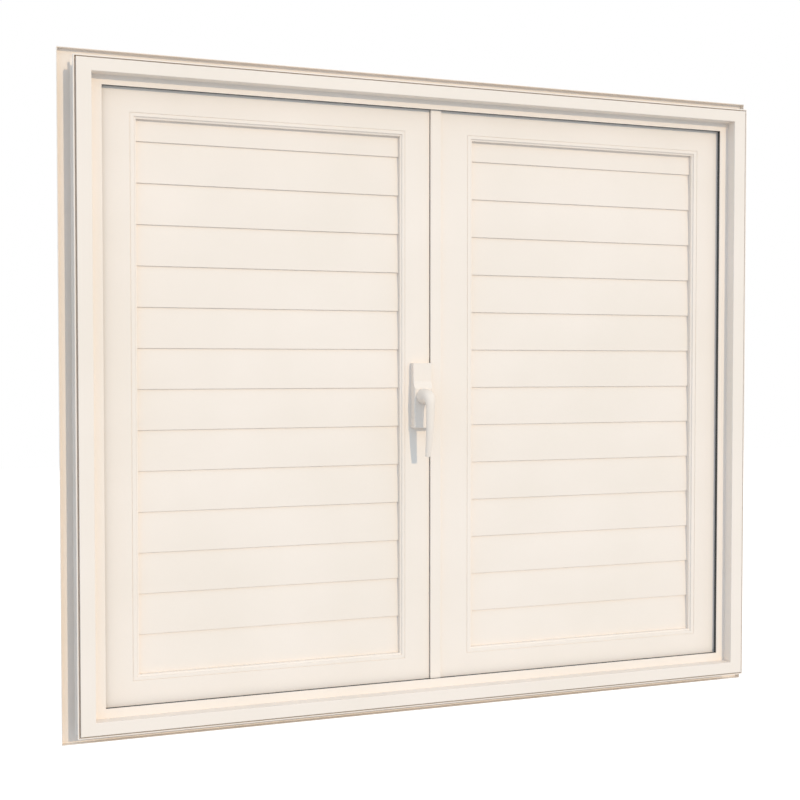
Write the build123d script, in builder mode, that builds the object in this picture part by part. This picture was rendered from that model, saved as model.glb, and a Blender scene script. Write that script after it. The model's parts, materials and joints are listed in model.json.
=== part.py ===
# Two-leaf louvred shutter in powder-coated aluminium, with its frame, seen and set out from the room side.
# X runs across the opening, Z is up and Y points outdoors. Lengths are millimetres.
# The origin is the centre of the four wall screw holes, on the room side of the frame's flange.
# Places across a bar are given inwards from the frame's outer edge, and depths from the frame's front face.
import os
from math import ceil, cos, radians, sin
from build123d import *

os.makedirs("parts", exist_ok=True)

# Overall size of the frame body, without its flange
frame_width = 1146.0
frame_height = 1000.0
upright_ratio = 1.137  # jambs and hinge stiles are this much wider across than head, sill and rails

# Frame section, given for head and sill
face_width = 19.3
reveal_depth = 20.5
lip_reach = 33.4
lip_thickness = 1.8
rebate_inset = 21.0
ledge_width = 3.8
ledge_depth = 2.5
ledge_groove_width = 2.1
ledge_groove_depth = 7.0
step_width = 1.7
step_depth = 38.0
step_thickness = 1.6
flange_reach = 22.2
flange_depth = 49.5
flange_thickness = 2.0
flange_lip_depth = 40.5
flange_lip_thickness = 1.1
frame_wall = 1.6
front_edge_radius = 1.0

# Leaf section, given for the rails
leaf_gap = 4.5
leaf_depth = 30.0
leaf_thickness = 32.0
leaf_wall = 1.8
bead_start = 69.6
bead_groove = 0.8
bead_radius = 3.0
opening_inset = 78.1
slat_depth = 39.5
overlap_fin_reach = 11.5
overlap_fin_thickness = 2.2
overlap_clearance = 0.6
strip_clearance = 0.4

# Meeting of the two leaves
active_edge = -14.6
tongue_reach = 1.35
tongue_thickness = 2.0
meeting_edge = 4.9
meeting_opening = 63.2
cover_gap = 2.2
cover_right = 5.6
cover_thickness = 5.0
meeting_body_setback = 1.5
rod_groove_depth = 5.2
rod_groove_width = 11.4
rod_groove_start = 4.0

# Slats
slat_pitch = 62.59
slat_overlap = 2.0
slat_lean = 3.1
slat_top_thickness = 2.4
slat_bulge = 4.8
slat_crown = 1.0
slat_skin = 1.3
slat_nose = 2.7
slat_nose_height = 3.0
slat_heel = 7.0
slat_heel_height = 4.5
lowest_slat_line = 60.1

# Seals and corner cleats
gasket_width = 6.2
seal_clearance = 0.3
cleat_arm = 34.0
cleat_clearance = 0.15
cleat_thickness = 9.0
cleat_width = 24.0

# Hinges
hinge_offsets = (-330.0, 330.0)
hinge_axis_inset = 13.6
hinge_axis_depth = 70.0
knuckle_radius = 7.0
knuckle_length = 26.0
knuckle_gap = 0.4
pin_radius = 4.0
pin_clearance = 0.05
pin_head = 3.0
hinge_plate_width = 46.0
hinge_plate_thickness = 3.0
frame_plate_reach = 20.0
leaf_plate_reach = 46.0

# Handle
handle_x = -29.9
handle_width = 31.2
handle_base_low = -51.2
handle_base_high = 54.0
handle_base_thin = 13.0
handle_base_thick = 19.0
handle_slope_low = 13.0
handle_slope_high = 24.0
handle_edge_radius = 2.5
lever_clearance = 0.4
lever_collar_radius = 12.6
lever_neck_radius = 11.2
lever_reach = 30.8
lever_drop = 96.5
lever_tip_in = 11.0
lever_grip_width = 15.2
lever_grip_thickness = 12.0
lever_tip_width = 9.2
lever_tip_thickness = 8.0
lever_bend_radius = 13.0
spindle_size = 7.0
spindle_grip = 12.0
spindle_room = 5.4
gearcase_width = 16.0
gearcase_height = 60.0
gearcase_depth = 17.0

# Lock rods, shoot bolts and their keeps
rod_thickness = 4.0
rod_side_clearance = 0.4
rod_inner_end = 40.0
rod_rest_gap = 1.2
bolt_length = 150.0
keep_thickness = 2.0
keep_length = 34.0
keep_width = 16.0
keep_clearance = 0.8

# Wall screw holes in the flange
screw_hole_radius = 2.6
screw_hole_reach = 9.5
screw_hole_spread = 900.0

# Sizes worked out from those above
half_width = frame_width / 2
half_height = frame_height / 2
leaf_edge = rebate_inset + leaf_gap
flange_back = flange_depth + flange_thickness
leaf_back = leaf_depth + leaf_thickness
fin_depth = flange_back + overlap_clearance
active_opening = -meeting_opening
cover_left = active_edge + cover_gap
meeting_body_left = cover_left + meeting_body_setback
leaf_half_height = half_height - leaf_edge
opening_half_height = half_height - opening_inset
slats_per_leaf = 1 + ceil((2 * opening_half_height - lowest_slat_line - slat_overlap) / slat_pitch)
hinge_axis_x = half_width - hinge_axis_inset
hinge_axis_y = hinge_axis_depth - flange_depth


def y_at(depth):
    return depth - flange_depth


def side_plane(side):
    """Local x points into the opening from the frame's edge, local y points outdoors."""
    if side == "left":
        return Plane(origin=(-half_width, 0, -frame_width), x_dir=(1, 0, 0), z_dir=(0, 0, 1))
    if side == "right":
        return Plane(origin=(half_width, 0, frame_width), x_dir=(-1, 0, 0), z_dir=(0, 0, -1))
    if side == "bottom":
        return Plane(origin=(frame_width, 0, -half_height), x_dir=(0, 0, 1), z_dir=(-1, 0, 0))
    return Plane(origin=(-frame_width, 0, half_height), x_dir=(0, 0, -1), z_dir=(1, 0, 0))


def mitre_plane(corner_x, corner_z, run_x, run_z, keep_towards):
    """Upright plane through a corner, along (run_x, run_z), facing the point that is kept."""
    normal = Vector(run_z, 0, -run_x)
    to_kept = Vector(keep_towards[0] - corner_x, 0, keep_towards[1] - corner_z)
    if normal.dot(to_kept) < 0:
        normal = normal * -1
    return Plane(origin=(corner_x, 0, corner_z), z_dir=normal)


def corners_near(sketch, points):
    return [sketch.vertices().sort_by_distance(Vector(x, y, 0))[0] for x, y in points]


# Frame
def frame_section(ratio):
    """One hollow section: front tube, stop lip, outer ledge, step lip and flange with its own lip."""
    def across(place):
        return place * ratio

    ledge = across(ledge_width)
    step = across(ledge_width + step_width)
    reach = across(flange_reach)
    groove = across(ledge_groove_width)
    groove_floor = ledge_depth + ledge_groove_depth
    lip_back = reveal_depth + lip_thickness
    outline = [
        (0, 0), (across(face_width), 0), (across(face_width), reveal_depth),
        (across(lip_reach), reveal_depth), (across(lip_reach), lip_back),
        (across(rebate_inset), lip_back), (across(rebate_inset), flange_back),
        (-reach, flange_back), (-reach, flange_lip_depth),
        (-reach + flange_lip_thickness, flange_lip_depth), (-reach + flange_lip_thickness, flange_depth),
        (0, flange_depth), (0, step_depth + step_thickness), (-step, step_depth + step_thickness),
        (-step, step_depth), (0, step_depth), (0, groove_floor + frame_wall), (-ledge, groove_floor + frame_wall),
        (-ledge, ledge_depth), (-groove, ledge_depth), (-groove, groove_floor), (0, groove_floor),
    ]
    rounded = [(0, 0), (across(face_width), 0)]
    with BuildSketch() as section:
        with BuildLine():
            Polyline(*[(x, y_at(d)) for x, d in outline], close=True)
        make_face()
        fillet(corners_near(section, [(x, y_at(d)) for x, d in rounded]), front_edge_radius)
        chamber_bottom = flange_back - frame_wall
        with BuildLine():
            inner = [
                (frame_wall, frame_wall), (across(face_width) - frame_wall, frame_wall),
                (across(face_width) - frame_wall, lip_back + frame_wall),
                (across(rebate_inset) - frame_wall, lip_back + frame_wall),
                (across(rebate_inset) - frame_wall, chamber_bottom), (frame_wall, chamber_bottom),
            ]
            Polyline(*[(x, y_at(d)) for x, d in inner], close=True)
        make_face(mode=Mode.SUBTRACT)
    return section.sketch


def mitred_bar(plane, section, cuts):
    """A bar of the given section along a plane's normal, cut at both ends."""
    with BuildPart() as bar:
        with BuildSketch(plane):
            add(section)
        extrude(amount=2 * frame_width)
        for cut in cuts:
            split(bisect_by=cut, keep=Keep.TOP)
    return bar.part


def ratio_of(side):
    return upright_ratio if side in ("left", "right") else 1.0


def frame_bar(side, section):
    """A bar along one side of the frame, mitred into its neighbours."""
    ends = {"left": ((-1, -1), (-1, 1)), "right": ((1, -1), (1, 1)),
            "bottom": ((-1, -1), (1, -1)), "top": ((-1, 1), (1, 1))}[side]
    middle = {"left": (-half_width, 0), "right": (half_width, 0),
              "bottom": (0, -half_height), "top": (0, half_height)}[side]
    cuts = [mitre_plane(sx * half_width, sz * half_height, sx * upright_ratio, sz, middle) for sx, sz in ends]
    return mitred_bar(side_plane(side), section, cuts)


def save(part, name):
    part.label = name
    export_step(part, f"parts/{name}.step")


def group(pieces):
    with BuildPart() as gathered:
        for piece in pieces:
            add(piece)
    return gathered.part


for side, name in (("left", "frame_left_jamb"), ("right", "frame_right_jamb")):
    save(frame_bar(side, frame_section(ratio_of(side))), name)


def flange_bar(side):
    """Head or sill with its two wall screw holes through the flange."""
    plain_bar = frame_bar(side, frame_section(1.0))
    sign = 1 if side == "top" else -1
    hole_height = sign * (half_height + screw_hole_reach)
    with BuildPart() as bar:
        add(plain_bar)
        with BuildSketch(Plane(origin=(0, -1, hole_height), x_dir=(1, 0, 0), z_dir=(0, 1, 0))):
            with GridLocations(screw_hole_spread, 1, 2, 1):
                Circle(screw_hole_radius)
        extrude(amount=flange_thickness + 2, mode=Mode.SUBTRACT)
    return bar.part


for side, name in (("top", "frame_head"), ("bottom", "frame_sill")):
    save(flange_bar(side), name)


# Gasket strips on the back of the stop lip
def gasket_section(ratio):
    inner_edge = (lip_reach - seal_clearance) * ratio
    outer_edge = inner_edge - gasket_width
    front = y_at(reveal_depth + lip_thickness)
    back = y_at(leaf_depth - seal_clearance)
    with BuildSketch() as section:
        with BuildLine():
            Polyline((outer_edge, front), (inner_edge, front), (inner_edge, back - 1),
                     (inner_edge - 1, back), (outer_edge + 1, back), close=True)
        make_face()
    return section.sketch


sides = ("left", "right", "top", "bottom")
save(group([frame_bar(side, gasket_section(ratio_of(side))) for side in sides]), "frame_gasket")


# Corner cleats: solid angle pieces pushed into the hollow bars
def cleat(outer_x, outer_z, sign_x, sign_z, depth):
    """Angle piece with its outer corner at (outer_x, outer_z) and its arms running inwards."""
    bend_x = outer_x - sign_x * cleat_thickness
    bend_z = outer_z - sign_z * cleat_thickness
    end_x = outer_x - sign_x * cleat_arm
    end_z = outer_z - sign_z * cleat_arm
    with BuildPart() as piece:
        with BuildSketch(Plane(origin=(0, y_at(depth + cleat_width), 0), x_dir=(1, 0, 0), z_dir=(0, -1, 0))):
            with BuildLine():
                Polyline((outer_x, outer_z), (end_x, outer_z), (end_x, bend_z),
                         (bend_x, bend_z), (bend_x, end_z), (outer_x, end_z), close=True)
            make_face()
        extrude(amount=cleat_width)
    return piece.part


frame_cleat_inset = frame_wall + cleat_clearance
frame_cleat_x = half_width - frame_cleat_inset
frame_cleat_z = half_height - frame_cleat_inset
signs = [(sx, sz) for sx in (-1, 1) for sz in (-1, 1)]
save(group([cleat(sx * frame_cleat_x, sz * frame_cleat_z, sx, sz, frame_cleat_inset) for sx, sz in signs]),
     "frame_corner_cleats")


# Leaf bars
def leaf_section(edge, opening, fin, edge_groove):
    """Hollow leaf section from its outer edge to the slat opening, with a rounded bead at the opening."""
    scale = (opening - edge) / (opening_inset - leaf_edge)
    bead = edge + (bead_start - leaf_edge) * scale
    bead_top = bead + bead_groove
    bead_end = leaf_depth + bead_radius
    chamber_edge = edge + leaf_wall + (rod_groove_depth if edge_groove else 0)
    chamber_turn = bead - bead_groove
    with BuildSketch() as section:
        with BuildLine():
            Polyline((opening, y_at(bead_end)), (opening, y_at(leaf_back)), (edge, y_at(leaf_back)),
                     (edge, y_at(leaf_depth)), (bead, y_at(leaf_depth)), (bead, y_at(leaf_depth + bead_groove)),
                     (bead_top, y_at(leaf_depth + bead_groove)), (bead_top, y_at(leaf_depth)),
                     (opening - bead_radius, y_at(leaf_depth)))
            RadiusArc((opening - bead_radius, y_at(leaf_depth)), (opening, y_at(bead_end)), bead_radius)
        make_face()
        if fin:
            with BuildLine():
                fin_end = edge - overlap_fin_reach
                fin_back = y_at(fin_depth + overlap_fin_thickness)
                Polyline((edge, y_at(fin_depth)), (fin_end, y_at(fin_depth)), (fin_end, fin_back),
                         (edge, fin_back), close=True)
            make_face()
        if edge_groove:
            with BuildLine():
                groove_front = y_at(leaf_depth + rod_groove_start)
                groove_back = groove_front + rod_groove_width
                Polyline((edge - 1, groove_front), (edge + rod_groove_depth, groove_front),
                         (edge + rod_groove_depth, groove_back), (edge - 1, groove_back), close=True)
            make_face(mode=Mode.SUBTRACT)
        with BuildLine():
            chamber_front = y_at(leaf_depth + leaf_wall)
            chamber_step = y_at(bead_end + leaf_wall)
            chamber_back = y_at(leaf_back - leaf_wall)
            Polyline((chamber_edge, chamber_front), (chamber_turn, chamber_front), (chamber_turn, chamber_step),
                     (opening - leaf_wall, chamber_step), (opening - leaf_wall, chamber_back),
                     (chamber_edge, chamber_back), close=True)
        make_face(mode=Mode.SUBTRACT)
    return section.sketch


def hinge_corner_cut(side_sign, z_sign, kept):
    return mitre_plane(side_sign * half_width, z_sign * half_height, side_sign * upright_ratio, z_sign, kept)


def meeting_corner_cut(edge, opening, z_sign, kept):
    run_z = z_sign * (opening_half_height - leaf_half_height)
    return mitre_plane(edge, z_sign * leaf_half_height, opening - edge, run_z, kept)


def hinge_stile(side_sign):
    side = "left" if side_sign < 0 else "right"
    section = leaf_section(leaf_edge * upright_ratio, opening_inset * upright_ratio, True, False)
    kept = (side_sign * half_width, 0)
    cuts = [hinge_corner_cut(side_sign, z_sign, kept) for z_sign in (-1, 1)]
    return mitred_bar(side_plane(side), section, cuts)


def meeting_stile(side_sign, edge, edge_groove):
    """Stile at the middle of the opening; edge is its distance from the centre line, in leaf direction."""
    section = leaf_section(edge, meeting_opening, False, edge_groove)
    plane = Plane(origin=(0, 0, side_sign * -frame_width), x_dir=(side_sign, 0, 0), z_dir=(0, 0, side_sign))
    kept = (side_sign * edge, 0)
    cuts = [meeting_corner_cut(side_sign * edge, side_sign * meeting_opening, z_sign, kept)
            for z_sign in (-1, 1)]
    return mitred_bar(plane, section, cuts)


def leaf_rail(side_sign, z_sign, edge, groove_clear):
    """Top or bottom rail of one leaf, notched where the lock rod passes."""
    section = leaf_section(leaf_edge, opening_inset, True, False)
    side = "top" if z_sign > 0 else "bottom"
    kept = (side_sign * frame_width / 4, z_sign * half_height)
    cuts = [hinge_corner_cut(side_sign, z_sign, kept),
            meeting_corner_cut(side_sign * edge, side_sign * meeting_opening, z_sign, kept)]
    bar = mitred_bar(side_plane(side), section, cuts)
    fin_height = z_sign * (leaf_half_height + overlap_fin_reach / 2)
    with BuildPart() as rail:
        add(bar)
        with BuildSketch(Plane(origin=(side_sign * edge, y_at(fin_depth), fin_height), x_dir=(1, 0, 0),
                               z_dir=(0, 1, 0))):
            Rectangle(overlap_fin_reach * 4, overlap_fin_reach, align=(
                Align.MAX if side_sign > 0 else Align.MIN, Align.CENTER))
        extrude(amount=overlap_fin_thickness, mode=Mode.SUBTRACT)
        if groove_clear:
            with BuildSketch(Plane(origin=(side_sign * edge, 0, 0), x_dir=(0, 1, 0), z_dir=(side_sign, 0, 0))):
                with Locations((y_at(leaf_depth + rod_groove_start + rod_groove_width / 2), 0)):
                    Rectangle(rod_groove_width, 2 * frame_height)
            extrude(amount=rod_groove_depth, mode=Mode.SUBTRACT)
    return rail.part


# Slats: closed hollow blades whose nose covers the top of the blade below
blade_height = slat_pitch + slat_overlap


def front_at(height):
    share = height / blade_height
    return slat_lean * share - slat_crown * (1 - (2 * share - 1) ** 2)


def back_at(height):
    share = (height - slat_heel_height) / (blade_height - slat_heel_height)
    straight = slat_heel + (slat_lean + slat_top_thickness - slat_heel) * share
    return straight + slat_bulge * (1 - (2 * share - 1) ** 2)


def blade_arc(line_at, low, high, inset=0.0):
    points = [(line_at(height) + inset, height) for height in (low, (low + high) / 2, high)]
    return ThreePointArc(*points)


def slat(side_sign, index):
    """One blade, trimmed to the opening where it meets the top or bottom rail."""
    line = lowest_slat_line + opening_inset - half_height + (index - 1) * slat_pitch
    length = half_width - opening_inset * upright_ratio - meeting_opening
    start = meeting_opening if side_sign > 0 else -meeting_opening - length
    void_low = slat_heel_height + 2 * slat_skin
    void_high = blade_height - 3 * slat_skin
    with BuildPart() as blade:
        with BuildSketch(Plane(origin=(start, y_at(slat_depth), line), x_dir=(0, 1, 0), z_dir=(1, 0, 0))):
            with BuildLine():
                blade_arc(front_at, 0, blade_height)
                blade_arc(back_at, slat_heel_height, blade_height)
                Line((front_at(blade_height), blade_height), (back_at(blade_height), blade_height))
                Polyline((back_at(slat_heel_height), slat_heel_height), (slat_nose, slat_nose_height),
                         (slat_nose, 0), (front_at(0), 0))
            make_face()
            with BuildLine():
                blade_arc(front_at, void_low, void_high, slat_skin)
                blade_arc(back_at, void_low, void_high, -slat_skin)
                Line((front_at(void_low) + slat_skin, void_low), (back_at(void_low) - slat_skin, void_low))
                Line((front_at(void_high) + slat_skin, void_high), (back_at(void_high) - slat_skin, void_high))
            make_face(mode=Mode.SUBTRACT)
            with Locations((0, -line)):
                Rectangle(4 * slat_pitch, 2 * opening_half_height, mode=Mode.INTERSECT)
        extrude(amount=length)
    return blade.part


# Hinges
def round_piece(x, y, low, high, outer, inner=0.0):
    with BuildPart() as ring:
        with BuildSketch(Plane(origin=(x, y, low), z_dir=(0, 0, 1))):
            Circle(outer)
            if inner:
                Circle(inner, mode=Mode.SUBTRACT)
        extrude(amount=high - low)
    return ring.part


def block(x_low, x_high, y_low, y_high, z_low, z_high):
    with BuildPart() as piece:
        with BuildSketch(Plane(origin=(0, 0, z_low), z_dir=(0, 0, 1))):
            with Locations(((x_low + x_high) / 2, (y_low + y_high) / 2)):
                Rectangle(abs(x_high - x_low), y_high - y_low)
        extrude(amount=z_high - z_low)
    return piece.part


def hinge_knuckle(side_sign, low, high, plates):
    """A knuckle with its plates, bored for the pin."""
    axis_x = side_sign * hinge_axis_x
    barrel = round_piece(axis_x, hinge_axis_y, low, high, knuckle_radius)
    bore = round_piece(axis_x, hinge_axis_y, low - 1, high + 1, pin_radius + pin_clearance)
    with BuildPart() as half:
        add(barrel)
        for plate in plates:
            add(plate)
        add(bore, mode=Mode.SUBTRACT)
    return half.part


def frame_hinge(side_sign, height):
    axis_x = side_sign * hinge_axis_x
    outwards = side_sign
    high = height - knuckle_gap / 2
    low = high - knuckle_length
    back = y_at(flange_back)
    near = axis_x + outwards * (knuckle_radius - hinge_plate_thickness)
    foot = block(near, near + outwards * frame_plate_reach, back, back + hinge_plate_thickness,
                 low - knuckle_length / 2, high)
    riser = block(near, near + outwards * hinge_plate_thickness, back, hinge_axis_y, low, high)
    return hinge_knuckle(side_sign, low, high, [foot, riser])


def leaf_hinge(side_sign, height):
    axis_x = side_sign * hinge_axis_x
    inwards = -side_sign
    low = height + knuckle_gap / 2
    high = low + knuckle_length
    back = y_at(leaf_back)
    edge_x = side_sign * (half_width - leaf_edge * upright_ratio) + inwards * leaf_wall
    arm = block(axis_x, edge_x, back, back + hinge_plate_thickness, low, high)
    plate = block(edge_x, edge_x + inwards * leaf_plate_reach, back, back + hinge_plate_thickness,
                  low - knuckle_length / 2, high)
    return hinge_knuckle(side_sign, low, high, [arm, plate])


def hinge_pin(side_sign, height):
    axis_x = side_sign * hinge_axis_x
    low = height - knuckle_gap / 2 - knuckle_length
    top = height + knuckle_gap / 2 + knuckle_length + knuckle_gap
    shank = round_piece(axis_x, hinge_axis_y, low, top, pin_radius)
    cap = round_piece(axis_x, hinge_axis_y, top, top + pin_head, knuckle_radius - 1)
    with BuildPart() as pin:
        add(shank)
        add(cap)
    return pin.part


save(group([frame_hinge(s, h) for s in (-1, 1) for h in hinge_offsets]), "frame_hinge_plates")
save(group([hinge_pin(s, h) for s in (-1, 1) for h in hinge_offsets]), "hinge_pins")


# Leaves
def leaf_cleats(side_sign, edge, edge_setback):
    hinge_x = side_sign * (half_width - leaf_edge * upright_ratio - leaf_wall - cleat_clearance)
    meeting_x = side_sign * (edge + edge_setback + leaf_wall + cleat_clearance)
    outer_z = leaf_half_height - leaf_wall - cleat_clearance
    depth = leaf_depth + leaf_wall + cleat_clearance
    pieces = []
    for z_sign in (-1, 1):
        pieces.append(cleat(hinge_x, z_sign * outer_z, side_sign, z_sign, depth))
        pieces.append(cleat(meeting_x, z_sign * outer_z, -side_sign, z_sign, depth))
    return group(pieces)


def save_leaf(label, side_sign, edge, edge_groove):
    """All fixed pieces of one leaf; edge is the meeting stile's distance from the centre line."""
    save(hinge_stile(side_sign), f"{label}_hinge_stile")
    save(leaf_rail(side_sign, 1, edge, edge_groove), f"{label}_top_rail")
    save(leaf_rail(side_sign, -1, edge, edge_groove), f"{label}_bottom_rail")
    save(leaf_cleats(side_sign, edge, rod_groove_depth if edge_groove else 0), f"{label}_corner_cleats")
    save(group([leaf_hinge(side_sign, h) for h in hinge_offsets]), f"{label}_hinge_plates")
    for index in range(slats_per_leaf):
        save(slat(side_sign, index), f"{label}_slat_{index + 1:02d}")


save_leaf("left", -1, -active_edge, True)
save_leaf("right", 1, meeting_edge, False)
save(meeting_stile(1, meeting_edge, False), "right_meeting_stile")

plain_active_stile = meeting_stile(-1, -active_edge, True)
tongue = block(active_edge, active_edge + tongue_reach, y_at(leaf_depth), y_at(leaf_depth + tongue_thickness),
               -leaf_half_height, leaf_half_height)
with BuildPart() as left_meeting_stile:
    add(plain_active_stile)
    add(tongue)
    with BuildSketch(Plane(origin=(handle_x, y_at(leaf_depth) - 1, 0), x_dir=(1, 0, 0), z_dir=(0, 1, 0))):
        Circle(spindle_room)
    extrude(amount=leaf_wall + 2, mode=Mode.SUBTRACT)
save(left_meeting_stile.part, "left_meeting_stile")

# Meeting profile on the right leaf: hollow body beside the stile and a proud cover strip towards the room
with BuildPart() as meeting_profile:
    with BuildSketch(Plane(origin=(0, 0, -leaf_half_height), z_dir=(0, 0, 1))):
        with BuildLine():
            groove_front = y_at(leaf_depth + rod_groove_start)
            groove_back = groove_front + rod_groove_width
            groove_floor = meeting_body_left + rod_groove_depth
            cover_front = y_at(leaf_depth - cover_thickness)
            Polyline((cover_left, cover_front), (cover_right, cover_front),
                     (cover_right, y_at(leaf_depth)), (meeting_edge, y_at(leaf_depth)),
                     (meeting_edge, y_at(leaf_back)), (meeting_body_left, y_at(leaf_back)),
                     (meeting_body_left, groove_back), (groove_floor, groove_back),
                     (groove_floor, groove_front), (meeting_body_left, groove_front),
                     (meeting_body_left, y_at(leaf_depth)), (cover_left, y_at(leaf_depth)), close=True)
        make_face()
        with BuildLine():
            hollow_left = groove_floor + leaf_wall
            hollow_right = meeting_edge - leaf_wall
            Polyline((hollow_left, y_at(leaf_depth)), (hollow_right, y_at(leaf_depth)),
                     (hollow_right, y_at(leaf_back - leaf_wall)), (hollow_left, y_at(leaf_back - leaf_wall)),
                     close=True)
        make_face(mode=Mode.SUBTRACT)
    extrude(amount=2 * leaf_half_height)
    cover_end = half_height - lip_reach + seal_clearance - strip_clearance
    for z_sign in (-1, 1):
        with BuildSketch(Plane(origin=(0, cover_front - 1, z_sign * cover_end),
                               x_dir=(1, 0, 0), z_dir=(0, 1, 0))):
            Rectangle(4 * handle_width, leaf_edge * 2, align=(
                Align.CENTER, Align.MAX if z_sign > 0 else Align.MIN))
        extrude(amount=cover_thickness + 1, mode=Mode.SUBTRACT)
save(meeting_profile.part, "meeting_profile")


# Lock rods on the left leaf, shoot bolts in the meeting profile, and their keeps in head and sill
def rod(x_low, z_near, z_tip):
    front = y_at(leaf_depth + rod_groove_start) + rod_side_clearance
    back = front + rod_groove_width - 2 * rod_side_clearance
    low, high = sorted((z_near, z_tip))
    bar = block(x_low, x_low + rod_thickness, front, back, low, high)
    tip = high if abs(high) > abs(low) else low
    with BuildPart() as piece:
        add(bar)
        tip_edges = piece.edges().filter_by(Axis.X).filter_by_position(Axis.Z, tip - 1, tip + 1)
        fillet(tip_edges, rod_thickness / 2)
    return piece.part


tip_height = half_height - rebate_inset - keep_thickness - rod_rest_gap
rod_x = active_edge - rod_groove_depth + rod_side_clearance
bolt_x = meeting_body_left + rod_groove_depth - rod_side_clearance - rod_thickness
save(rod(rod_x, rod_inner_end, tip_height), "upper_lock_rod")
save(rod(rod_x, -rod_inner_end, -tip_height), "lower_lock_rod")
save(rod(bolt_x, tip_height - bolt_length, tip_height), "upper_shoot_bolt")
save(rod(bolt_x, bolt_length - tip_height, -tip_height), "lower_shoot_bolt")


def keep(z_sign):
    """Keep plate on the rebate of head or sill, with a slot for each rod."""
    slot_depth = leaf_depth + rod_groove_start + rod_groove_width / 2
    seat = half_height - rebate_inset
    low = min(z_sign * seat, z_sign * (seat - keep_thickness))
    middle = (rod_x + bolt_x + rod_thickness) / 2
    with BuildPart() as plate:
        with BuildSketch(Plane(origin=(middle, y_at(slot_depth), low), z_dir=(0, 0, 1))):
            RectangleRounded(keep_length, keep_width, keep_width / 8)
            with Locations((rod_x + rod_thickness / 2 - middle, 0), (bolt_x + rod_thickness / 2 - middle, 0)):
                Rectangle(rod_thickness + 2 * keep_clearance, rod_groove_width + keep_clearance,
                          mode=Mode.SUBTRACT)
        extrude(amount=keep_thickness)
    return plate.part


save(group([keep(1), keep(-1)]), "lock_keeps")

# Handle: base plate, gear case, turning lever with its square spindle
base_front_thin = y_at(leaf_depth - handle_base_thin)
base_front_thick = y_at(leaf_depth - handle_base_thick)
with BuildPart() as handle_base:
    with BuildSketch(Plane(origin=(handle_x - handle_width / 2, 0, 0), x_dir=(0, 1, 0), z_dir=(1, 0, 0))):
        with BuildLine():
            Polyline((y_at(leaf_depth), handle_base_low), (base_front_thick, handle_base_low),
                     (base_front_thick, handle_slope_low), (base_front_thin, handle_slope_high),
                     (base_front_thin, handle_base_high), (y_at(leaf_depth), handle_base_high), close=True)
        make_face()
    extrude(amount=handle_width)
    fillet(handle_base.edges().filter_by(Axis.Z).group_by(Axis.Y)[0], handle_edge_radius)
    with BuildSketch(Plane(origin=(handle_x, base_front_thick - 1, 0), x_dir=(1, 0, 0), z_dir=(0, 1, 0))):
        Circle(spindle_room)
    extrude(amount=handle_base_thick + 2, mode=Mode.SUBTRACT)
save(handle_base.part, "handle_base")

with BuildPart() as handle_gearcase:
    with BuildSketch(Plane(origin=(handle_x, y_at(leaf_depth + leaf_wall), 0), x_dir=(1, 0, 0), z_dir=(0, 1, 0))):
        RectangleRounded(gearcase_width, gearcase_height, gearcase_width / 5)
        Circle(spindle_room, mode=Mode.SUBTRACT)
    extrude(amount=gearcase_depth)
save(handle_gearcase.part, "handle_gearcase")

spindle_front = base_front_thick - lever_clearance - spindle_grip
spindle_back = y_at(leaf_depth + leaf_wall + gearcase_depth)
with BuildPart() as handle_spindle:
    with BuildSketch(Plane(origin=(handle_x, spindle_front, 0), x_dir=(1, 0, 0), z_dir=(0, 1, 0))):
        Rectangle(spindle_size, spindle_size)
    extrude(amount=spindle_back - spindle_front)
save(handle_spindle.part, "handle_spindle")

# Lever: a tapering round neck, a quarter bend and a grip that narrows and leans back towards its blunt tip
neck_start = base_front_thick - lever_clearance
bend_start = neck_start - lever_reach + lever_bend_radius
grip_top = -lever_bend_radius


def lever_station(depth_y, height, turn, across, thickness):
    """An oval section of the lever; turn is how far its run has bent from the neck's direction."""
    normal = Vector(0, -1, 0).rotate(Axis.X, turn)
    with BuildSketch(Plane(origin=(handle_x, depth_y, height), x_dir=(1, 0, 0), z_dir=normal)) as oval:
        Ellipse(across / 2, thickness / 2)
    return oval.sketch


def bend_station(turn):
    share = turn / 90.0
    depth_y = bend_start - lever_bend_radius * sin(radians(turn))
    height = -lever_bend_radius * (1 - cos(radians(turn)))
    across = 2 * lever_neck_radius + (lever_grip_width - 2 * lever_neck_radius) * share
    thickness = 2 * lever_neck_radius + (lever_grip_thickness - 2 * lever_neck_radius) * share
    return lever_station(depth_y, height, turn, across, thickness)


def grip_station(share):
    depth_y = neck_start - lever_reach + lever_tip_in * share ** 2
    height = grip_top - (lever_drop + grip_top) * share
    across = lever_grip_width + (lever_tip_width - lever_grip_width) * share
    thickness = lever_grip_thickness + (lever_tip_thickness - lever_grip_thickness) * share
    return lever_station(depth_y, height, 90.0, across, thickness)


with BuildPart() as handle_lever:
    with BuildSketch(Plane(origin=(handle_x, neck_start, 0), x_dir=(1, 0, 0), z_dir=(0, -1, 0))):
        Circle(lever_collar_radius)
    with BuildSketch(Plane(origin=(handle_x, bend_start, 0), x_dir=(1, 0, 0), z_dir=(0, -1, 0))):
        Circle(lever_neck_radius)
    loft(ruled=True)
    loft(sections=[bend_station(turn) for turn in (0.0, 45.0, 90.0)])
    loft(sections=[grip_station(share) for share in (0.0, 0.5, 1.0)])
    with BuildSketch(Plane(origin=(handle_x, neck_start, 0), x_dir=(1, 0, 0), z_dir=(0, -1, 0))):
        Rectangle(spindle_size, spindle_size)
    extrude(amount=spindle_grip, mode=Mode.SUBTRACT)
save(handle_lever.part, "handle_lever")
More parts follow.
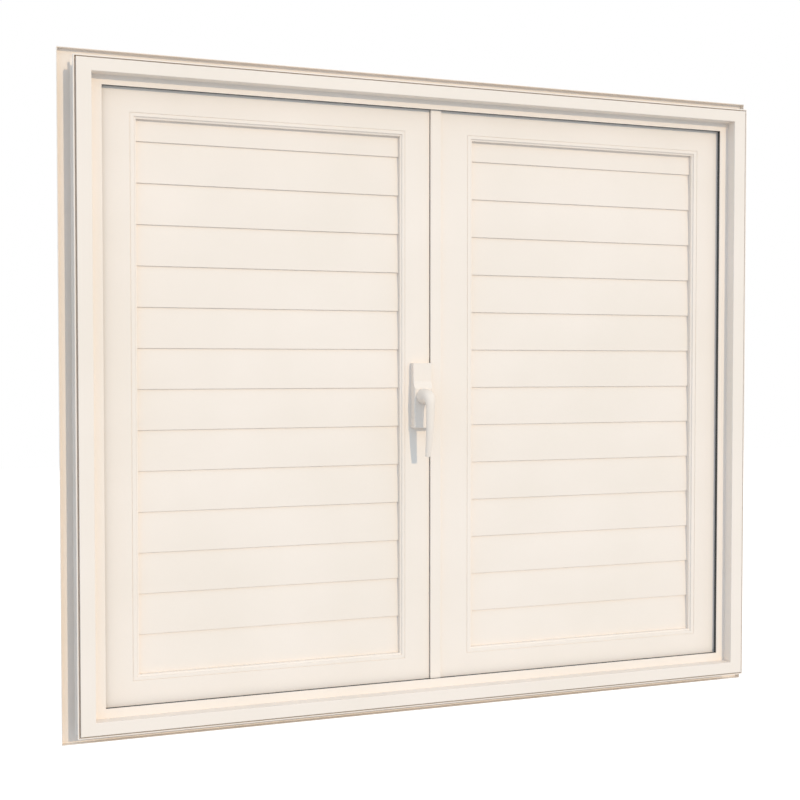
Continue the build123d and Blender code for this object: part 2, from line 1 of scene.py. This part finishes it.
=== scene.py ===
import json
import math
import bmesh
import bpy
from mathutils import Euler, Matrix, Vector

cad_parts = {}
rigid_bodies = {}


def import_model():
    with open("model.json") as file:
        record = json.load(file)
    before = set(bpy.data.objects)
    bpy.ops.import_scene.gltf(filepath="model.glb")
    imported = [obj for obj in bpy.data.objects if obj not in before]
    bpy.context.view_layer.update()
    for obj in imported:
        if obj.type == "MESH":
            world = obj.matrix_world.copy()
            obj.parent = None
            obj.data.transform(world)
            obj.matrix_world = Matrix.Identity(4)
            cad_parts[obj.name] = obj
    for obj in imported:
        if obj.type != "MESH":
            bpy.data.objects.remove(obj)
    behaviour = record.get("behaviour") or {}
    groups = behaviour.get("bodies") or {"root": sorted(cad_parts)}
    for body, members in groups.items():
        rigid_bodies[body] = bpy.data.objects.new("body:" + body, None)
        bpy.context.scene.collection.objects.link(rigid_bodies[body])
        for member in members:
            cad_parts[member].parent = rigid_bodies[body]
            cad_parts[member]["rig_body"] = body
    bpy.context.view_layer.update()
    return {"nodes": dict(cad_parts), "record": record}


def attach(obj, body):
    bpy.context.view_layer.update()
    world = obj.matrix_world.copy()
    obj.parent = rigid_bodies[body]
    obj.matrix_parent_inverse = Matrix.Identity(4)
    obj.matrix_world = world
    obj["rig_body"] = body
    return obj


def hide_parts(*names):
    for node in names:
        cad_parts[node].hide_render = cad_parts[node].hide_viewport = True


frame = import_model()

nodes = frame["nodes"]
scene = bpy.context.scene

# Camera: stands left of the middle and a little above it, turned 19 degrees to the right
camera = {
    "place": (-0.69304, -1.83803, 0.04849),
    "turnRight": 19.079,
    "lookDown": 1.6273,
    "lens": 53.13,
    "sensor": 36.0,
    "near": 0.05,
    "far": 60.0,
}


def newPiece(name, data):
    piece = bpy.data.objects.new(name, data)
    scene.collection.objects.link(piece)
    return piece


def addCamera():
    data = bpy.data.cameras.new("shutterCamera")
    data.lens = camera["lens"]
    data.sensor_width = camera["sensor"]
    data.clip_start = camera["near"]
    data.clip_end = camera["far"]
    seat = newPiece("shutterCamera", data)
    seat.location = camera["place"]
    tilt = math.radians(90 - camera["lookDown"])
    seat.rotation_euler = Euler((tilt, 0, math.radians(-camera["turnRight"])))
    scene.camera = seat


addCamera()
print("camera in place")

# Node helpers for the materials
noiseSpan = (0.3, 0.7)  # most of a noise texture's values lie between these


def newMaterial(name):
    mat = bpy.data.materials.new(name)
    mat.use_nodes = True
    return mat, mat.node_tree, mat.node_tree.nodes["Principled BSDF"]


def objectPlace(tree):
    return tree.nodes.new("ShaderNodeTexCoord").outputs["Object"]


def noise(tree, place, scale, detail, roughness=0.5):
    texture = tree.nodes.new("ShaderNodeTexNoise")
    texture.inputs["Scale"].default_value = scale
    texture.inputs["Detail"].default_value = detail
    texture.inputs["Roughness"].default_value = roughness
    tree.links.new(place, texture.inputs["Vector"])
    return texture.outputs["Fac"]


def mapRange(tree, value, toLow, toHigh, span=noiseSpan):
    node = tree.nodes.new("ShaderNodeMapRange")
    for socket, number in zip(("From Min", "From Max", "To Min", "To Max"), (*span, toLow, toHigh)):
        node.inputs[socket].default_value = number
    tree.links.new(value, node.inputs["Value"])
    return node.outputs["Result"]


def mixColour(tree, factor, colourA, colourB):
    node = tree.nodes.new("ShaderNodeMix")
    node.data_type = "RGBA"
    node.inputs["A"].default_value = (*colourA, 1.0)
    node.inputs["B"].default_value = (*colourB, 1.0)
    tree.links.new(factor, node.inputs["Factor"])
    return node.outputs["Result"]


def multiplyColour(tree, colour, factor):
    node = tree.nodes.new("ShaderNodeMix")
    node.data_type = "RGBA"
    node.blend_type = "MULTIPLY"
    node.inputs["Factor"].default_value = 1.0
    tree.links.new(colour, node.inputs["A"])
    tree.links.new(factor, node.inputs["B"])
    return node.outputs["Result"]


def bump(tree, height, strength, distance):
    node = tree.nodes.new("ShaderNodeBump")
    node.inputs["Strength"].default_value = strength
    node.inputs["Distance"].default_value = distance
    tree.links.new(height, node.inputs["Height"])
    return node.outputs["Normal"]


def fromPhoto(red, green, blue):
    def linear(value):  # the standard sRGB curve
        share = value / 255
        return share / 12.92 if share <= 0.04045 else ((share + 0.055) / 1.055) ** 2.4
    return linear(red), linear(green), linear(blue)


# Satin cream powder coat: fine orange peel, a slow drift of tone and faint specks
coat = {
    "cream": fromPhoto(241, 230, 219),
    "creamDeep": fromPhoto(238, 227, 215),
    "driftScale": 5.0,
    "driftDetail": 3.0,
    "driftSpan": (0.35, 0.65),
    "speckScale": 2600.0,
    "speckDetail": 1.0,
    "speckShade": 0.985,
    "peelScale": 900.0,
    "peelDetail": 2.0,
    "peelGrain": 0.45,
    "peelStrength": 0.5,
    "peelDepth": 0.00003,
    "roughLow": 0.56,
    "roughHigh": 0.64,
    "specular": 0.30,
}


def powderCoat(name, shade=1.0, extraRough=0.0):
    mat, tree, shader = newMaterial(name)
    place = objectPlace(tree)
    drift = noise(tree, place, coat["driftScale"], coat["driftDetail"])
    tone = mapRange(tree, drift, 0.0, 1.0, coat["driftSpan"])
    light = [part * shade for part in coat["cream"]]
    deep = [part * shade for part in coat["creamDeep"]]
    speck = noise(tree, place, coat["speckScale"], coat["speckDetail"])
    speckle = mapRange(tree, speck, coat["speckShade"], 1.0)
    colour = multiplyColour(tree, mixColour(tree, tone, light, deep), speckle)
    rough = mapRange(tree, drift, coat["roughLow"] + extraRough, coat["roughHigh"] + extraRough)
    peel = noise(tree, place, coat["peelScale"], coat["peelDetail"], coat["peelGrain"])
    tree.links.new(colour, shader.inputs["Base Color"])
    tree.links.new(rough, shader.inputs["Roughness"])
    tree.links.new(bump(tree, peel, coat["peelStrength"], coat["peelDepth"]), shader.inputs["Normal"])
    shader.inputs["Specular IOR Level"].default_value = coat["specular"]
    return mat


# Dull dark rubber of the gasket
seal = {
    "dark": fromPhoto(52, 53, 54),
    "light": fromPhoto(66, 67, 68),
    "grainScale": 1400.0,
    "grainDetail": 3.0,
    "grainStrength": 0.4,
    "grainDepth": 0.00005,
    "roughLow": 0.62,
    "roughHigh": 0.8,
}


def rubber(name):
    mat, tree, shader = newMaterial(name)
    grain = noise(tree, objectPlace(tree), seal["grainScale"], seal["grainDetail"])
    colour = mixColour(tree, grain, seal["dark"], seal["light"])
    rough = mapRange(tree, grain, seal["roughLow"], seal["roughHigh"])
    tree.links.new(colour, shader.inputs["Base Color"])
    tree.links.new(rough, shader.inputs["Roughness"])
    tree.links.new(bump(tree, grain, seal["grainStrength"], seal["grainDepth"]), shader.inputs["Normal"])
    return mat


# Uncoated metal: a grain drawn out along the bar and darker patches
metal = {
    "grainScale": 700.0,
    "grainDetail": 4.0,
    "grainRoughness": 0.6,
    "grainStrength": 0.35,
    "grainDepth": 0.00003,
    "patchScale": 60.0,
    "patchDetail": 3.0,
    "patchShade": 0.8,
    "roughSpread": 0.08,
}


def bareMetal(name, colour, rough, stretch):
    mat, tree, shader = newMaterial(name)
    place = objectPlace(tree)
    drawn = tree.nodes.new("ShaderNodeMapping")
    drawn.inputs["Scale"].default_value = stretch
    tree.links.new(place, drawn.inputs["Vector"])
    grain = noise(tree, drawn.outputs["Vector"], metal["grainScale"], metal["grainDetail"],
                  metal["grainRoughness"])
    patch = noise(tree, place, metal["patchScale"], metal["patchDetail"])
    dark = [part * metal["patchShade"] for part in colour]
    sheen = mapRange(tree, grain, rough - metal["roughSpread"], rough + metal["roughSpread"])
    tree.links.new(mixColour(tree, patch, colour, dark), shader.inputs["Base Color"])
    tree.links.new(sheen, shader.inputs["Roughness"])
    tree.links.new(bump(tree, grain, metal["grainStrength"], metal["grainDepth"]), shader.inputs["Normal"])
    shader.inputs["Metallic"].default_value = 1.0
    return mat


frameCoat = powderCoat("frameCoat")
leafCoat = powderCoat("leafCoat", shade=1.005)
slatCoat = powderCoat("slatCoat", shade=0.995)
handleCoat = powderCoat("handleCoat", shade=0.985, extraRough=-0.06)
hingeCoat = powderCoat("hingeCoat", shade=0.99, extraRough=0.04)
sealRubber = rubber("sealRubber")
millAluminium = bareMetal("millAluminium", colour=(0.78, 0.78, 0.79), rough=0.35, stretch=(1.0, 1.0, 0.05))
zincSteel = bareMetal("zincSteel", colour=(0.62, 0.62, 0.61), rough=0.34, stretch=(1.0, 1.0, 0.08))
castZinc = bareMetal("castZinc", colour=(0.55, 0.55, 0.56), rough=0.5, stretch=(1.0, 1.0, 1.0))

finishOf = {
    "frame_coat": frameCoat,
    "leaf_coat": leafCoat,
    "slat_coat": slatCoat,
    "hinge_coat": hingeCoat,
    "handle_coat": handleCoat,
    "gasket_rubber": sealRubber,
    "mill_aluminium": millAluminium,
    "bare_steel": zincSteel,
    "cast_zinc": castZinc,
}
slotOf = {part["node"]: part["material_slot"] for part in frame["record"]["subparts"]}

for name, node in nodes.items():
    node.data.materials.clear()
    node.data.materials.append(finishOf[slotOf[name]])
print("finishes on", len(nodes), "pieces")

# Bars and handle are redrawn from the frame's own faces, with the edges that run along each bar eased
easing = {
    "frameRadius": 0.0004,
    "leafRadius": 0.0008,
    "rowRadius": 0.0003,
    "handleRadius": 0.0012,
    "segments": 3,
    "sharpAngle": 25.0,
    "mergeDistance": 0.000005,
    "flatAngle": 1.0,
    "straightness": 0.99,
}
barNames = [name for name in nodes if name.endswith(("_head", "_sill", "_jamb", "_stile", "_rail"))]


def weighEdges(mesh, sharpAngle, isChosen):
    # Sharp edges stay sharp in the shading, and the chosen ones also get a weight for the Bevel modifier
    weight = mesh.edges.layers.float.new("bevel_weight_edge")
    for edge in mesh.edges:
        sharp = len(edge.link_faces) == 2 and edge.calc_face_angle() > math.radians(sharpAngle)
        edge[weight] = float(sharp and isChosen(edge))
        edge.smooth = not sharp
    for face in mesh.faces:
        face.smooth = True


def sharpened(data, alongOnly=True):
    # Flat faces are joined up, then the outer sharp edges are weighed, along the bar only or all round
    mesh = bmesh.new()
    mesh.from_mesh(data)
    bmesh.ops.remove_doubles(mesh, verts=mesh.verts, dist=easing["mergeDistance"])
    flatAngle = math.radians(easing["flatAngle"])
    bmesh.ops.dissolve_limit(mesh, angle_limit=flatAngle, verts=mesh.verts, edges=mesh.edges)

    def span(axis):
        places = [corner.co[axis] for corner in mesh.verts]
        return max(places) - min(places)
    longest = max(range(3), key=span)

    def isChosen(edge):
        run = (edge.verts[1].co - edge.verts[0].co).normalized()
        return edge.is_convex and (not alongOnly or abs(run[longest]) > easing["straightness"])
    weighEdges(mesh, easing["sharpAngle"], isChosen)
    mesh.to_mesh(data)
    mesh.free()
    return data


def addBevel(piece, radius):
    bevel = piece.modifiers.new("easedEdges", "BEVEL")
    bevel.width = radius
    bevel.segments = easing["segments"]
    bevel.limit_method = "WEIGHT"
    bevel.use_clamp_overlap = True


def addFlatNormals(piece):
    normals = piece.modifiers.new("flatNormals", "WEIGHTED_NORMAL")
    normals.keep_sharp = True


def easedCopy(nodeName, radius, alongOnly=True):
    piece = newPiece(nodeName + "Eased", sharpened(nodes[nodeName].data.copy(), alongOnly))
    addBevel(piece, radius)
    addFlatNormals(piece)
    return piece


def standIn(piece, *nodeNames):
    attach(piece, nodes[nodeNames[0]]["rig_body"])
    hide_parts(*nodeNames)


for name in barNames:
    radius = easing["frameRadius"] if name.startswith("frame_") else easing["leafRadius"]
    standIn(easedCopy(name, radius), name)
standIn(easedCopy("meeting_profile", easing["leafRadius"]), "meeting_profile")
standIn(easedCopy("handle_base", easing["handleRadius"], alongOnly=False), "handle_base")
print("edges eased on", len(barNames), "bars, the meeting profile and the handle base")


# Node groups: every socket is named, and sizes are set on the modifier
def newGroup(name, sockets):
    group = bpy.data.node_groups.new(name, "GeometryNodeTree")
    group.interface.new_socket("Geometry", in_out="INPUT", socket_type="NodeSocketGeometry")
    for socketName, kind in sockets.items():
        group.interface.new_socket(socketName, in_out="INPUT", socket_type="NodeSocket" + kind)
    group.interface.new_socket("Geometry", in_out="OUTPUT", socket_type="NodeSocketGeometry")
    return group, group.nodes.new("NodeGroupInput"), group.nodes.new("NodeGroupOutput")


def runGroup(piece, group, values):
    # The outcome is kept as a plain mesh
    modifier = piece.modifiers.new(group.name, "NODES")
    modifier.node_group = group
    for item in group.interface.items_tree:
        if item.in_out == "INPUT" and item.name in values:
            modifier[item.identifier] = values[item.name]
    seen = piece.evaluated_get(bpy.context.evaluated_depsgraph_get())
    plain = bpy.data.meshes.new_from_object(seen)
    piece.modifiers.clear()
    piece.data = plain


def coatAndEnd(group, instances, given, out):
    real = group.nodes.new("GeometryNodeRealizeInstances")
    coated = group.nodes.new("GeometryNodeSetMaterial")
    group.links.new(instances, real.inputs["Geometry"])
    group.links.new(real.outputs["Geometry"], coated.inputs["Geometry"])
    group.links.new(given.outputs["Finish"], coated.inputs["Material"])
    group.links.new(coated.outputs["Geometry"], out.inputs["Geometry"])


def slatRowGroup():
    sockets = {"Count": "Int", "Pitch": "Float", "First": "Float", "Finish": "Material"}
    group, given, out = newGroup("slatRow", sockets)
    link = group.links.new
    line = group.nodes.new("GeometryNodeMeshLine")
    start = group.nodes.new("ShaderNodeCombineXYZ")
    step = group.nodes.new("ShaderNodeCombineXYZ")
    rows = group.nodes.new("GeometryNodeInstanceOnPoints")
    link(given.outputs["Count"], line.inputs["Count"])
    link(given.outputs["First"], start.inputs["Z"])
    link(given.outputs["Pitch"], step.inputs["Z"])
    link(start.outputs["Vector"], line.inputs["Start Location"])
    link(step.outputs["Vector"], line.inputs["Offset"])
    link(line.outputs["Mesh"], rows.inputs["Points"])
    link(given.outputs["Geometry"], rows.inputs["Instance"])
    coatAndEnd(group, rows.outputs["Instances"], given, out)
    return group


# Slats: the whole blades of a leaf are one row, and the cut ones at its ends are eased copies
slatRow = slatRowGroup()


def addSlats(side):
    names = sorted(name for name in nodes if name.startswith(side + "_slat_"))
    whole = names[1:-1]
    heights = [min(corner.co.z for corner in nodes[name].data.vertices) for name in whole]
    pitch = (heights[-1] - heights[0]) / (len(heights) - 1)
    row = newPiece(side + "SlatRow", sharpened(nodes[whole[0]].data.copy()))
    addBevel(row, easing["rowRadius"])
    runGroup(row, slatRow, {"Count": len(whole), "Pitch": pitch, "First": 0.0, "Finish": slatCoat})
    addFlatNormals(row)
    standIn(row, *whole)
    for name in (names[0], names[-1]):
        standIn(easedCopy(name, easing["rowRadius"]), name)
    print(side, "slats", len(names), "pitch", round(pitch, 5))


addSlats("left")
addSlats("right")

# Lever: the frame's own form, with the edge of its tip softened
lever = {"sharpAngle": 40.0, "radius": 0.0007}


def softLever():
    piece = newPiece("leverSoft", nodes["handle_lever"].data.copy())
    mesh = bmesh.new()
    mesh.from_mesh(piece.data)
    bmesh.ops.remove_doubles(mesh, verts=mesh.verts, dist=easing["mergeDistance"])
    lowest = min(corner.co.z for corner in mesh.verts)

    def isAtTip(edge):
        return all(corner.co.z < lowest + lever["radius"] for corner in edge.verts)
    weighEdges(mesh, lever["sharpAngle"], isAtTip)
    mesh.to_mesh(piece.data)
    mesh.free()
    addBevel(piece, lever["radius"])
    addFlatNormals(piece)
    return piece


standIn(softLever(), "handle_lever")
print("lever softened")

# Countersunk screws with a cross recess, in the hinge plates and the keeps
screw = {
    "headRadius": 0.0040,
    "underRadius": 0.72,  # a share of the head's radius
    "proud": 0.0003,
    "crown": 0.0006,
    "crownCurve": ((0.0, 1.0), (0.55, 0.72), (0.9, 0.2)),  # shares of the head's radius and of the crown
    "sink": 0.0012,
    "recessLength": 0.0046,
    "recessWidth": 0.0010,
    "recessDepth": 0.0009,
    "sides": 32,
    "mergeDistance": 0.00001,
    "seed": 7,
}
hinges = {
    "offsets": (-0.330, 0.330),
    "leafPlateBack": 0.0155,
    "leafScrewsX": (0.5330, 0.5080),
    "leafScrewsZ": (-0.0060, 0.0190),
    "framePlateBack": 0.0050,
    "frameScrewX": 0.5755,
    "frameScrewsZ": (-0.0330, -0.0070),
}
keepPlates = {"surface": 0.4770, "middleX": -0.01275, "screwSpread": 0.0128, "depthY": -0.0098}


def screwHead():
    # A shallow dome whose rim is level with the plate; +Z is its outer side
    data = bpy.data.meshes.new("screwHead")
    mesh = bmesh.new()
    radius = screw["headRadius"]
    profile = [(radius * across, screw["proud"] + screw["crown"] * up) for across, up in screw["crownCurve"]]
    profile += [(radius, 0.0), (radius * screw["underRadius"], -screw["sink"]), (0.0, -screw["sink"])]
    corners = [mesh.verts.new((across, 0, height)) for across, height in profile]
    edges = [mesh.edges.new(pair) for pair in zip(corners, corners[1:])]
    bmesh.ops.spin(mesh, geom=corners + edges, angle=math.tau, steps=screw["sides"],
                   axis=(0, 0, 1), cent=(0, 0, 0))
    bmesh.ops.remove_doubles(mesh, verts=mesh.verts, dist=screw["mergeDistance"])
    bmesh.ops.recalc_face_normals(mesh, faces=mesh.faces)
    mesh.to_mesh(data)
    mesh.free()
    return data


def screwFieldGroup():
    sockets = {"Head": "Object", "Recess Length": "Float", "Recess Width": "Float", "Recess Depth": "Float",
               "Top": "Float", "Seed": "Int", "Finish": "Material"}
    group, given, out = newGroup("screwField", sockets)
    link = group.links.new
    # The head less the two arms of its cross
    head = group.nodes.new("GeometryNodeObjectInfo")
    lift = group.nodes.new("ShaderNodeCombineXYZ")
    cut = group.nodes.new("GeometryNodeMeshBoolean")
    cut.operation = "DIFFERENCE"
    link(given.outputs["Head"], head.inputs["Object"])
    link(given.outputs["Top"], lift.inputs["Z"])
    link(head.outputs["Geometry"], cut.inputs["Mesh 1"])
    for along, across in (("X", "Y"), ("Y", "X")):
        size = group.nodes.new("ShaderNodeCombineXYZ")
        arm = group.nodes.new("GeometryNodeMeshCube")
        raised = group.nodes.new("GeometryNodeTransform")
        link(given.outputs["Recess Length"], size.inputs[along])
        link(given.outputs["Recess Width"], size.inputs[across])
        link(given.outputs["Recess Depth"], size.inputs["Z"])
        link(size.outputs["Vector"], arm.inputs["Size"])
        link(arm.outputs["Mesh"], raised.inputs["Geometry"])
        link(lift.outputs["Vector"], raised.inputs["Translation"])
        link(raised.outputs["Geometry"], cut.inputs["Mesh 2"])
    # Each screw faces out of its plate and is turned by chance
    facing = group.nodes.new("GeometryNodeInputNamedAttribute")
    facing.data_type = "FLOAT_VECTOR"
    facing.inputs["Name"].default_value = "facing"
    aim = group.nodes.new("FunctionNodeAlignRotationToVector")
    aim.axis = "Z"
    link(facing.outputs["Attribute"], aim.inputs["Vector"])
    turn = group.nodes.new("FunctionNodeRandomValue")
    turn.data_type = "FLOAT"
    turn.inputs[3].default_value = math.tau  # the float Max, one of several sockets with that name
    link(given.outputs["Seed"], turn.inputs["Seed"])
    spin = group.nodes.new("FunctionNodeAxisAngleToRotation")
    spin.inputs["Axis"].default_value = (0, 0, 1)
    link(turn.outputs[1], spin.inputs["Angle"])
    turned = group.nodes.new("FunctionNodeRotateRotation")
    turned.rotation_space = "LOCAL"
    link(aim.outputs["Rotation"], turned.inputs["Rotation"])
    link(spin.outputs["Rotation"], turned.inputs["Rotate By"])
    placed = group.nodes.new("GeometryNodeInstanceOnPoints")
    link(given.outputs["Geometry"], placed.inputs["Points"])
    link(cut.outputs["Mesh"], placed.inputs["Instance"])
    link(turned.outputs["Rotation"], placed.inputs["Rotation"])
    coatAndEnd(group, placed.outputs["Instances"], given, out)
    return group


screwField = screwFieldGroup()
headModel = bpy.data.objects.new("screwHeadModel", screwHead())


def addScrews(name, body, spots):
    # The spots are pairs of place and facing, and the screws are one mesh that rides on the body
    data = bpy.data.meshes.new(name)
    data.from_pydata([place for place, facing in spots], [], [])
    facings = data.attributes.new("facing", "FLOAT_VECTOR", "POINT")
    for entry, (place, facing) in zip(facings.data, spots):
        entry.vector = facing
    piece = newPiece(name, data)
    runGroup(piece, screwField, {
        "Head": headModel,
        "Recess Length": screw["recessLength"],
        "Recess Width": screw["recessWidth"],
        "Recess Depth": 2 * screw["recessDepth"],
        "Top": screw["proud"] + screw["crown"],
        "Seed": screw["seed"],
        "Finish": zincSteel,
    })
    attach(piece, body)


def leafSpots(sign):
    return [((sign * x, hinges["leafPlateBack"], z + dz), (0, 1, 0))
            for z in hinges["offsets"] for x in hinges["leafScrewsX"] for dz in hinges["leafScrewsZ"]]


def frameSpots(sign):
    return [((sign * hinges["frameScrewX"], hinges["framePlateBack"], z + dz), (0, 1, 0))
            for z in hinges["offsets"] for dz in hinges["frameScrewsZ"]]


def keepSpots(sign):
    return [((keepPlates["middleX"] + side * keepPlates["screwSpread"], keepPlates["depthY"],
              sign * keepPlates["surface"]), (0, 0, -sign)) for side in (-1, 1)]


addScrews("leftLeafScrews", "left_leaf", leafSpots(-1))
addScrews("rightLeafScrews", "right_leaf", leafSpots(1))
addScrews("frameScrews", "frame", frameSpots(-1) + frameSpots(1) + keepSpots(-1) + keepSpots(1))
bpy.data.objects.remove(headModel)
print("screws in place")

# Floor well below the shutter, white to the camera but for its shadow, and lights
studio = {
    "floorHeight": -2.6,
    "floorSize": 60.0,
    "floorColour": 0.52,
    "floorRough": 0.9,
    "floorLift": 0.72,
    "worldColour": (0.740, 0.890, 1.055),
    "sunColour": (1.31, 1.05, 0.73),
    "sunTravel": (-0.237, 1.0, -0.337),
    "sunWidth": 0.4,
    "fillColour": (1.05, 0.86, 0.66),
    "fillTravel": (0.35, -1.0, -0.45),
    "fillWidth": 12.0,
}
white = (1, 1, 1, 1)


def seenDirectly(tree):
    # 1 for rays from the camera, off a glossy surface or through glass, and 0 for the rest
    path = tree.nodes.new("ShaderNodeLightPath")
    direct = path.outputs["Is Camera Ray"]
    for other in ("Is Glossy Ray", "Is Transmission Ray"):
        either = tree.nodes.new("ShaderNodeMath")
        either.operation = "MAXIMUM"
        tree.links.new(direct, either.inputs[0])
        tree.links.new(path.outputs[other], either.inputs[1])
        direct = either.outputs["Value"]
    return direct


def addFloor():
    half = studio["floorSize"] / 2
    z = studio["floorHeight"]
    data = bpy.data.meshes.new("floor")
    corners = [(-half, -half, z), (half, -half, z), (half, half, z), (-half, half, z)]
    data.from_pydata(corners, [], [(0, 1, 2, 3)])
    floor = newPiece("floor", data)
    mat, tree, shader = newMaterial("paleFloor")
    shader.inputs["Base Color"].default_value = (*[studio["floorColour"]] * 3, 1)
    shader.inputs["Roughness"].default_value = studio["floorRough"]
    shader.inputs["Emission Color"].default_value = white
    lift = tree.nodes.new("ShaderNodeMath")
    lift.operation = "MULTIPLY"
    lift.inputs[1].default_value = studio["floorLift"]
    tree.links.new(seenDirectly(tree), lift.inputs[0])
    tree.links.new(lift.outputs["Value"], shader.inputs["Emission Strength"])
    data.materials.append(mat)


def addWorld():
    world = bpy.data.worlds.new("studioWorld")
    scene.world = world
    world.use_nodes = True
    tree = world.node_tree
    tree.nodes.clear()
    output = tree.nodes.new("ShaderNodeOutputWorld")
    ambient = tree.nodes.new("ShaderNodeBackground")
    ambient.inputs["Color"].default_value = (*studio["worldColour"], 1)
    backdrop = tree.nodes.new("ShaderNodeBackground")
    backdrop.inputs["Color"].default_value = white
    mixer = tree.nodes.new("ShaderNodeMixShader")
    tree.links.new(seenDirectly(tree), mixer.inputs["Fac"])
    tree.links.new(ambient.outputs["Background"], mixer.inputs[1])
    tree.links.new(backdrop.outputs["Background"], mixer.inputs[2])
    tree.links.new(mixer.outputs["Shader"], output.inputs["Surface"])


def addSun(name, colour, travel, width):
    data = bpy.data.lights.new(name, "SUN")
    data.energy = max(colour)
    data.color = [part / data.energy for part in colour]
    data.angle = math.radians(width)
    sun = newPiece(name, data)
    sun.rotation_euler = Vector(travel).to_track_quat("-Z", "Y").to_euler()


addFloor()
addWorld()
addSun("windowSun", studio["sunColour"], studio["sunTravel"], studio["sunWidth"])
addSun("outdoorFill", studio["fillColour"], studio["fillTravel"], studio["fillWidth"])
scene.view_settings.view_transform = "Standard"
print("light and floor in place")
